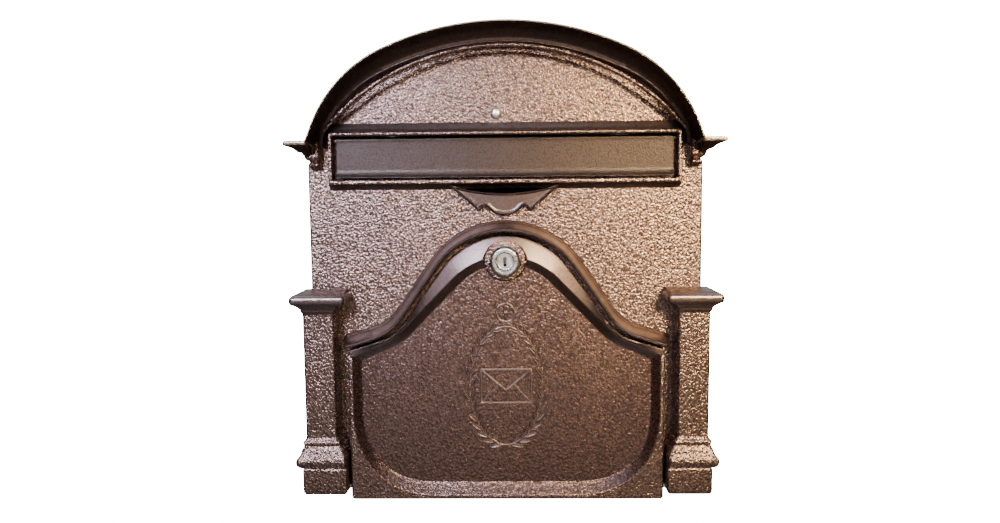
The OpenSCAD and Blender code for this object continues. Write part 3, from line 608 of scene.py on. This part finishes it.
# Section of the hood: distance out from the door's edge, and depth
HOOD = [
    (3.5, -0.3), (3.5, 9), (3.5, 16.4), (3.7, 18.4), (4.3, 19.6), (5.2, 20), (6.1, 19.5), (6.9, 18.0),
    (8.2, 13.6), (9.6, 9.2), (10.7, 6.2), (11.4, 4.9), (12.1, 3.8), (12.4, 2.4), (12.9, 1.0),
    (14.0, -0.3)]


def hood_section(x, z, a):
    """The hood's section at x, which shrinks to a rounded end beside the pilaster."""
    near = max(0, (x - DOOR_X[1] + 1.2) / 5.7)
    k = math.sqrt(max(0.01, 1 - near ** 2))
    return [(7.6 + (o - 7.6) * (0.35 + 0.65 * k), d * k - 0.4 * (1 - k)) for o, d in HOOD]


bm = bmesh.new()
rows = swept(hood_path(), hood_section)
skin(bm, rows, finish=[SMOOTH] * len(rows))
tidy(bm)
# Little of the spray reaches the underside
# The hood's underside carries painted shade
for f in bm.faces:
    if f.normal.z < -0.25 and abs(f.normal.y) < 0.35:
        f.material_index = PAINTED_SHADE
piece("door_hood_casting", bm, "case", COAT, ["door_hood"], sharp=50)


# ---------------------------------------------------------------- pilasters

# Right pilaster, bottom to top: height, inner x, outer x, depth and corner radius
PILASTER = [
    (0.0, 147.5, 181.5, 22.5, 2), (0.8, 145.6, 183.6, 24.8, 2), (2.6, 144.6, 184.8, 25.8, 2),
    (5.5, 144.4, 185, 26, 2), (22.8, 144.4, 185, 26, 2), (24.0, 144.6, 184.8, 25.8, 2),
    (24.8, 145.2, 184.4, 25.2, 2), (25.6, 145, 185.4, 26.2, 2),
    (27.0, 144.6, 188.2, 28.4, 2.5), (29.0, 144.4, 189.8, 29.5, 3), (31.5, 144.4, 190.3, 29.9, 3),
    (34.0, 144.4, 189.9, 29.6, 3), (35.8, 144.5, 188.6, 28.6, 3), (37.0, 144.9, 187.4, 27.6, 3),
    (40.0, 146.2, 186, 26.4, 3), (41.6, 146.8, 185.9, 26.3, 3), (42.8, 147.8, 185, 25.4, 3),
    (45.6, 149.6, 183.9, 24.3, 3), (46.6, 149.9, 184.1, 24.5, 3), (48.2, 150, 184.6, 24.9, 2.5),
    (49.6, 150.4, 184.2, 24.6, 2.5), (50.6, 151.8, 183, 23.2, 2.5), (52.0, 153.2, 182.2, 22.2, 2.5),
    (54.0, 153.5, 182, 22, 2.5), (164.5, 153.5, 182, 22, 2.5), (166.2, 153.2, 182.3, 22.3, 2.5),
    (167.2, 152.2, 183.2, 23.2, 2.5), (168.6, 151.8, 183.6, 23.6, 2.5), (169.6, 151.8, 183.7, 23.6, 2.5),
    (171.0, 150.8, 184.8, 24.2, 2.5), (172.8, 148.4, 187.2, 25.2, 2.5), (174.0, 145.4, 189.6, 26.6, 3),
    (174.8, 143.6, 191.2, 27.6, 3), (176.2, 142.6, 192.1, 28.3, 3), (178.4, 142.4, 192.3, 28.4, 3),
    (180.4, 142.6, 192.1, 28.3, 3), (181.8, 143.2, 191.4, 27.4, 3), (182.9, 144.0, 190.0, 25.4, 3),
    (184.0, 144.6, 187.6, 20, 3), (185.2, 145.2, 185.6, 12, 3), (186.0, 145.6, 184.4, 4, 2),
    (186.3, 145.8, 184.0, 1, 1)]
# Everything up to the neck carries the hammered grain; the capital runs smooth, with painted shade on
# its top
NECK_Z, TOP_Z = 166, 182
for name, side in (("left", -1), ("right", 1)):
    bm = bmesh.new()
    rows = []
    for z, x0, x1, d, r in PILASTER:
        rows.append(plan(z, *sorted((side * x0, side * x1)), d, r))
    finish = [ROUGH if z < NECK_Z else SMOOTH if z < TOP_Z else PAINTED_SHADE for z, *_ in PILASTER]
    skin(bm, rows, finish=finish)
    piece(f"{name}_pilaster_casting", bm, "case", COAT, [f"{name}_pilaster"],
          sharp=50)


# ---------------------------------------------------------------- door

RIM_D, FIELD_D, REST_D = DOOR_D[1], 8, DOOR_D[0]
SIDE_X, PIN_Z, PIN_D, FOOT_R = DOOR_X[1], 4, 12.5, 12
RIDGE = (150.6, 65.6, 45.5, 128.4, 186, 50.8, 23.6)


def ridge_top(o, x):
    """Right half of the ridge between the door's sloping border and its field, moved outwards by o."""
    z, r, slope, hook_x, hook_z, hook_r, end = RIDGE
    return ogee(z, r + o, slope, hook_x, hook_z, hook_r - o, end, x)


edge_line = lower(door_top(0, SIDE_X), DOOR_Z[0], 3, 3, 2)
ridge_line = lower(ridge_top(0, SIDE_X - 3.7), DOOR_Z[0] + 3.8, 77, 81.2, 2.3)
floor_line = lower(ridge_top(-8, SIDE_X - 11.2), DOOR_Z[0] + 14.4, 70, 67.6, 2.4)
top_count = len(door_top(0, 0))


def border_d(i):
    """Depth of the door's edge at point i: the border slopes more where it is wide."""
    if i > top_count:
        return RIM_D
    gap = math.hypot(edge_line[i][0] - ridge_line[i][0], edge_line[i][1] - ridge_line[i][1])
    return RIM_D - min(6.0, 0.5 + 0.33 * gap)


bm = bmesh.new()
rows = []
pocket = lower(door_top(-5, SIDE_X - 5), 15, 2, 2, 2)
rows.append(ring(pocket, 4))
rows.append(ring(pocket, REST_D))
for a in steps(0, 90, 6):
    drop, d = FOOT_R * math.sin(math.radians(a)), PIN_D - FOOT_R * math.cos(math.radians(a))
    line = lower(door_top(0, SIDE_X), PIN_Z - drop, 3, 3, 2)
    rows.append(ring([(x, z, min(d, border_d(i) - 1.4)) for i, (x, z) in enumerate(line)]))
for inset, back in ((0, 1.3), (0.35, 0.45), (1.3, 0.0)):
    line = lower(door_top(-inset, SIDE_X - inset), DOOR_Z[0] + inset, 3, 3, 2)
    rows.append(ring([(x, z, border_d(i) - back) for i, (x, z) in enumerate(line)]))
line = lower(ridge_top(0.6, SIDE_X - 3.2), DOOR_Z[0] + 3.3, 77, 81.2, 2.3)
rows.append(ring(line, RIM_D))
for k, d in ((0.04, 15.75), (0.12, 15.1), (0.3, 13.4), (0.6, 10.6), (0.82, 8.9), (0.93, 8.2), (1, 8.0)):
    rows.append(ring([(a + (c - a) * k, b + (e - b) * k)
                      for (a, b), (c, e) in zip(ridge_line, floor_line)], d))
# Strips: the pocket's wall; back, foot and edge, which carry painted shade; the rounded front corner;
# the border; the field's walls. Border and walls are marked here, and run smooth above SHOULDER_Z
# only; below it the border is hammered, and the walls, like the field itself, take the darker field
# coat, which is painted shade
BORDER, WALL, SHOULDER_Z = 4, 5, 126
skin(bm, rows, finish=[SMOOTH] + [PAINTED_SHADE] * 8 + [SMOOTH, SMOOTH, BORDER] + [WALL] * 7, cap_finish=OWN)
for f in bm.faces:
    if f.material_index in (BORDER, WALL):
        high = f.calc_center_median().z > BASE_Z + SHOULDER_Z * MM
        f.material_index = SMOOTH if high else ROUGH if f.material_index == BORDER else OWN
# Seat of the lock: a round boss on the field, spot-faced into the border, with a sunk ring
tool = bmesh.new()
turn(tool, at(0, LOCK_Z), FRONT, [
    (0, 11.2), (18.2, 11.2), (18.9, 12.0), (19.8, 15.2), (21.4, 17), (0, 17)], 64)
bm = combine(bm, tool, "DIFFERENCE")
tool = bmesh.new()
turn(tool, at(0, LOCK_Z), FRONT, [
    (0, 6), (19.4, 6), (19.2, 8.2), (18.6, 9.6), (18.2, 10.8), (17.6, 11.5), (14.9, 11.5),
    (14.6, 7.5), (10.5, 7.5), (10.5, 12.5), (0, 12.5)], 64)
bm = combine(bm, tool, "UNION")
piece("door_casting", bm, "door", COAT + [SHADED_FIELD], ["door_panel"], sharp=38)


# ---------------------------------------------------------------- emblem on the door

EMBLEM_Z = sum(sizes("door_emblem")[1]) / 2 - 4.25


def raised_line(bm, points, closed, width=1.9, high=1.2):
    """A low rounded line that stands on the door's field along the points."""
    rows, count = [], len(points)
    for i, (x, z) in enumerate(points):
        before = points[i - 1] if closed or i else points[i]
        after = points[(i + 1) % count] if closed or i < count - 1 else points[i]
        way = Vector((after[0] - before[0], after[1] - before[1])).normalized()
        rows.append([at(x - way.y * width / 2 * math.cos(t), z + way.x * width / 2 * math.cos(t),
                        FIELD_D - 0.3 + (high + 0.3) * max(0, math.sin(t)) ** 0.7)
                     for t in steps(0, math.pi, 6)])
    if closed:
        rows.append(rows[0])
    skin(bm, rows, caps=(not closed, not closed))


def leaf(bm, x, z, angle, length, width):
    """A pointed leaf with a sunk midrib, lying on the field and growing towards angle."""
    way = Vector((math.sin(math.radians(angle)), math.cos(math.radians(angle))))
    rows = []
    for u in (0.0, 0.08, 0.22, 0.4, 0.6, 0.8, 0.93, 1.0):
        w = width / 2 * (math.sin(math.pi * min(1, max(0, u * 0.94 + 0.03))) ** 0.75)
        high = 0.4 + 1.2 * math.sin(math.pi * u) ** 0.5
        rows.append([at(x + way.x * u * length + way.y * w * s, z + way.y * u * length - way.x * w * s,
                        FIELD_D + h * high)
                     for s, h in ((-1, -0.4), (-1, 0.1), (-0.5, 0.95), (0, 0.45), (0.5, 0.95),
                                  (1, 0.1), (1, -0.4))])
    skin(bm, rows)


# Wreath: an oval stem, and on each side fourteen pairs of leaves that grow upwards from the foot
bm = bmesh.new()
OVAL_X, OVAL_Z = 38, 60
oval = [((OVAL_X - 5) * math.sin(t), EMBLEM_Z + (OVAL_Z - 5) * math.cos(t))
        for t in steps(0, 2 * math.pi, 96)[:-1]]
raised_line(bm, oval, True, 1.8, 1.1)
for side in (-1, 1):
    for k in range(14):
        t = math.radians(172 - k * 11.4)
        px, pz = (OVAL_X - 4.4) * math.sin(t), (OVAL_Z - 4.4) * math.cos(t)
        heading = math.degrees(math.atan2(-(OVAL_X - 4.4) * math.cos(t),
                                          (OVAL_Z - 4.4) * math.sin(t)))
        for lean in (-28, 24):
            leaf(bm, side * px, EMBLEM_Z + pz, side * (heading + lean), 11 - 0.15 * k, 4.8)
# Envelope: its outline, the V of its flap, and two seams
half_w, half_h = 23, 15.5
corners = [(half_w, half_h), (half_w, -half_h), (-half_w, -half_h), (-half_w, half_h)]
frame_line = []
for (x0, z0), (x1, z1) in pairs(corners, True):
    frame_line += [(x0, z0)] + between((x0, z0), (x1, z1), 6)
raised_line(bm, [(x, EMBLEM_Z + z) for x, z in frame_line], True, 2.1, 1.4)
fold = [(-half_w, half_h)] + between((-half_w, half_h), (-2, -2.5), 5)
fold += [(-2, -2.5), (0, -3.4), (2, -2.5)]
fold += between((2, -2.5), (half_w, half_h), 5) + [(half_w, half_h)]
raised_line(bm, [(x, EMBLEM_Z + z) for x, z in fold], False, 2.0, 1.3)
for side in (-1, 1):
    foot, tip = (side * half_w, -half_h), (side * 7, 1.4)
    seam = [foot] + between(foot, tip, 5) + [tip]
    raised_line(bm, [(x, EMBLEM_Z + z) for x, z in seam], False, 1.6, 0.9)
# Rosette of eight petals in a ring
rose_z = EMBLEM_Z + OVAL_Z + 8
raised_line(bm, arc(0, rose_z, 8.2, 0, 360, 40)[:-1], True, 2.0, 1.3)
turn(bm, at(0, rose_z, FIELD_D), FRONT, [(0, 1.3), (1.0, 1.2), (1.8, 0.7), (2.2, -0.3), (0, -0.3)], 20)
for k in range(8):
    a = math.radians(45 * k)
    leaf(bm, 2.3 * math.sin(a), rose_z + 2.3 * math.cos(a), 45 * k, 4.6, 3.0)
piece("door_wreath", bm, "door", [EMBOSSED], ["door_emblem"], sharp=60)


# ---------------------------------------------------------------- lock

bm = bmesh.new()
turn(bm, at(0, LOCK_Z), FRONT, [
    (8.1, -6.5), (10.4, -6.5), (10.5, 13.0), (12.6, 13.2), (13.2, 13.8), (13.5, 15.0),
    (13.5, 21.6), (13.2, 22.4), (11.9, 24.4), (11.5, 24.8), (10.9, 25.0), (10.5, 24.6),
    (10.3, 23.4), (9.6, 23.4), (9.4, 24.5), (9.1, 24.9), (8.7, 24.9), (8.3, 24.3),
    (8.1, 22.0), (8.1, -6.5)], 72)
piece("lock_collar", bm, "door", [CHROME], ["lock_body"], sharp=28)

# Plug: a dished face with the key slot sunk in it
PLUG_D = sizes("lock_plug")[2][1]
bm = bmesh.new()
around = steps(0, 2 * math.pi, 40)[:-1]


def keyway(t, k, d):
    """A point round the key slot, which is waisted between two round lobes."""
    high, wide = math.cos(t), math.sin(t)
    x = 1.35 * math.copysign(abs(wide) ** 0.7, wide) * (0.72 + 0.45 * abs(high))
    return at(k * x, LOCK_Z + k * 3.7 * high, d)


def circle(r, d):
    """A ring of points round the plug's axis."""
    return [at(r * math.sin(t), LOCK_Z + r * math.cos(t), d) for t in around]


rows = [circle(r, d) for r, d in (
    (1.5, -6.7), (7.7, -6.7), (8.0, -6.4), (8.0, PLUG_D - 1.6), (7.4, PLUG_D - 0.3), (7.1, PLUG_D),
    (6.6, PLUG_D - 0.1), (6.2, PLUG_D - 0.7), (4.2, PLUG_D - 0.8))]
rows += [[keyway(t, k, PLUG_D - deep) for t in around]
         for k, deep in ((1.25, 0.85), (1.1, 1.3), (1.0, 4), (0.9, 12))]
# Chrome outside, and brass darkened with painted shade in the key slot
skin(bm, rows, finish=[0] * 9 + [1] * 3)
piece("lock_plug_turned", bm, "lock", [CHROME, SHADED_BRASS], ["lock_plug"], sharp=40)


# ---------------------------------------------------------------- dome bolt and small hardware

BOLT_X = sum(sizes("dome_bolt")[0]) / 2
BOLT_Z = sum(sizes("dome_bolt")[1]) / 2
bm = bmesh.new()
dome = [(5.25 * math.sin(t), 3.4 * math.cos(t) ** 0.9 if t < 1.56 else 0.25)
        for t in steps(0, math.pi / 2, 12)]
turn(bm, at(BOLT_X, BOLT_Z), FRONT,
     dome + [(5.25, 0.05), (3, 0), (3, -11.6), (2.6, -12), (0, -12)], 40)
piece("dome_bolt_polished", bm, "case", [BRIGHT], ["dome_bolt"], sharp=40)


def pan_head(bm, centre, axis, r, high, socket):
    """A low domed head, with a round socket in it where socket is more than 0."""
    top = [(socket, high * 0.35), (socket, high * 0.96)] if socket else [(0, high)]
    bottom = [(0, high * 0.35)] if socket else []
    curve = [(r * math.sin(t), high * (0.35 + 0.65 * math.cos(t))) for t in steps(0.5, math.pi / 2, 6)]
    turn(bm, centre, axis, bottom + top + curve + [(r, 0), (0, 0)], 20)


# The sheet roof runs ROOF_IN inside the cornice's outline; screws and rivets sit FLANGE from the edge
ROOF_IN, FLANGE = 8, 7
SHANK = [(0, 0), (1.6, 0), (1.6, 2), (0, 2)]


def flange_spots(heights):
    """Centres of the screws or rivets: at the heights up each side, and three over the roof."""
    reach = ARCH_R - ROOF_IN - FLANGE
    ends = [math.radians(a) for a in (-CROWN_A, 0, CROWN_A)]
    return ([(s * (CASE_X - FLANGE), z) for s in (-1, 1) for z in heights]
            + [(reach * math.sin(a), ARCH_Z + reach * math.cos(a)) for a in ends])


bm = bmesh.new()
for x, z in flange_spots((45, 145, 245)):
    pan_head(bm, at(x, z, BACK_D - 1), -FRONT, 3.8, 2.4, 1.3)
piece("case_screw_heads", bm, "case", [ZINC], ["case_screws"], sharp=40)
bm = bmesh.new()
for x, z in flange_spots((25, 130, 235)):
    pan_head(bm, at(x, z, WALL_D + 2), FRONT, 3.2, 1.2, 0)
    turn(bm, at(x, z, WALL_D), FRONT, SHANK, 16)
piece("back_rivet_heads", bm, "case", [ZINC], ["back_rivets"], sharp=40)
bm = bmesh.new()
for side in (-1, 1):
    for k in (0.2, 0.5, 0.8):
        spot = at(side * CASE_X, sizes("floor_rivets")[1][0] + 3.2, WALL_D + k * (BACK_D - WALL_D))
        pan_head(bm, spot, SIDE * side, 3.2, 1.2, 0)
        turn(bm, spot, -SIDE * side, SHANK, 16)
piece("floor_rivet_heads", bm, "case", [ZINC], ["floor_rivets"], sharp=40)

# Folded sheet case: sides and arched roof in one, with a flange at each end
bm = bmesh.new()
rows = []
for inset, d in (
        (13, WALL_D + 1), (7, WALL_D + 1), (2.0, WALL_D + 1), (0.9, WALL_D + 1.15), (0.2, WALL_D + 1.7),
        (0, WALL_D + 2.6), (0, WALL_D * 0.5), (0, BACK_D - 1.6), (0.2, BACK_D - 0.7),
        (0.9, BACK_D - 0.15), (2.0, BACK_D), (7, BACK_D), (13, BACK_D)):
    half = arch_to(-ROOF_IN - inset, CASE_X - inset, sizes("case_wrap")[1][0], 28)
    rows.append([at(-x, z, d) for x, z in reversed(half[1:])] + [at(x, z, d) for x, z in half])
skin(bm, rows, closed=False, caps=(False, False))
piece("case_wrap_folded", bm, "case", [SHEET], ["case_wrap"], sharp=45, sheet=1)

# CAD nodes that keep their own shape
for name, material in (
        ("back_panel", SHEET), ("case_floor", SHEET), ("flap_rod", ZINC), ("door_pins", ZINC),
        ("dome_bolt_nut", ZINC), ("lock_nut", ZINC), ("lock_cam", ZINC), ("cam_screw", ZINC)):
    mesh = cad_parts[name].data
    mesh.materials.clear()
    mesh.materials.append(material)


# ---------------------------------------------------------------- stage, light and camera

scene = bpy.context.scene
# The box hangs on a wall, so the pale floor lies far below it
bm = bmesh.new()
bmesh.ops.create_grid(bm, x_segments=1, y_segments=1, size=0.6,
                      matrix=Matrix.Translation((0, -0.5, -2.0)))
mesh = bpy.data.meshes.new("floor")
bm.to_mesh(mesh)
bm.free()
paint, _, _ = surface("pale floor paint", Base_Color=colour("#e4e2df"), Roughness=0.8)
mesh.materials.append(paint)
linked("floor", mesh)


def soft_light(name, spot, aim, wide, high, power, tint, spread):
    """A soft rectangular lamp at spot, pointed at aim; both are x, z and d. wide and high are in
    metres, power is in watts, and spread is the angle of its beam in degrees."""
    lamp = bpy.data.lights.new(name, "AREA")
    lamp.shape = "RECTANGLE"
    lamp.size, lamp.size_y = wide, high
    lamp.energy = power
    lamp.color = colour(tint)[:3]
    lamp.spread = math.radians(spread)
    ob = linked(name, lamp)
    ob.location = at(*spot)
    ob.rotation_euler = (at(*aim) - at(*spot)).to_track_quat("-Z", "Y").to_euler()


# Two narrow beams light the sides more than the middle; wide fills lift the foot, back and sides
soft_light("cool softbox", (-450, 680, 900), (-205, 215, 0), 0.4, 0.35, 1.5, "#dcdff8", 26)
soft_light("warm softbox", (500, 640, 900), (210, 210, 0), 0.4, 0.35, 2.1, "#ffe4b2", 26)
soft_light("low fill", (0, -250, 1300), (0, 60, 0), 1.4, 0.5, 1.3, "#f1e6dc", 120)
soft_light("back fill", (0, 600, -1300), (0, 200, -100), 1.2, 0.9, 9, "#eef0f4", 180)
for side in (-1, 1):
    soft_light("side fill", (side * 1300, 1100, -540), (0, 250, -60), 0.9, 0.9, 11, "#f4f0ea", 180)

world = bpy.data.worlds.new("studio")
scene.world = world
world.use_nodes = True
tree = world.node_tree
tree.nodes.clear()
# A room with a pale ceiling and darker walls and floor lights the box; the camera sees white round it
way = add(tree, "ShaderNodeTexCoord").outputs["Generated"]
rise = add(tree, "ShaderNodeVectorMath", {0: way, 1: (0, 0.2, 0.98)}, operation="DOT_PRODUCT")
level = add(tree, "ShaderNodeMapRange", {0: rise.outputs["Value"], 1: 0.45, 2: 0.95},
            interpolation_type="SMOOTHSTEP")
glow = add(tree, "ShaderNodeMix", {0: level.outputs[0], 6: colour("#3a322e"), 7: colour("#d8dae6")},
           data_type="RGBA")
room = add(tree, "ShaderNodeBackground", {"Color": glow.outputs[2], "Strength": 2.5})
paper = add(tree, "ShaderNodeBackground", {"Color": (1, 1, 1, 1), "Strength": 40})
seen = add(tree, "ShaderNodeLightPath").outputs["Is Camera Ray"]
mixed = add(tree, "ShaderNodeMixShader", {0: seen, 1: room.outputs[0], 2: paper.outputs[0]})
add(tree, "ShaderNodeOutputWorld", {"Surface": mixed.outputs[0]})

# A wide lens close to the front, almost square to it and looking a little down
PAN, PITCH, ROLL = (math.radians(a) for a in (1.007, -4.669, 0.506))
camera = bpy.data.cameras.new("camera")
camera.sensor_width = 36
camera.lens = 24.1632
eye = linked("camera", camera)
tilt = (Matrix.Rotation(PAN, 4, "Z") @ Matrix.Rotation(PITCH, 4, "X")
        @ Matrix.Rotation(ROLL, 4, "Y") @ Matrix.Rotation(math.pi / 2, 4, "X"))
eye.matrix_world = Matrix.Translation(at(6.0, 260.3, 612.8)) @ tilt
scene.camera = eye
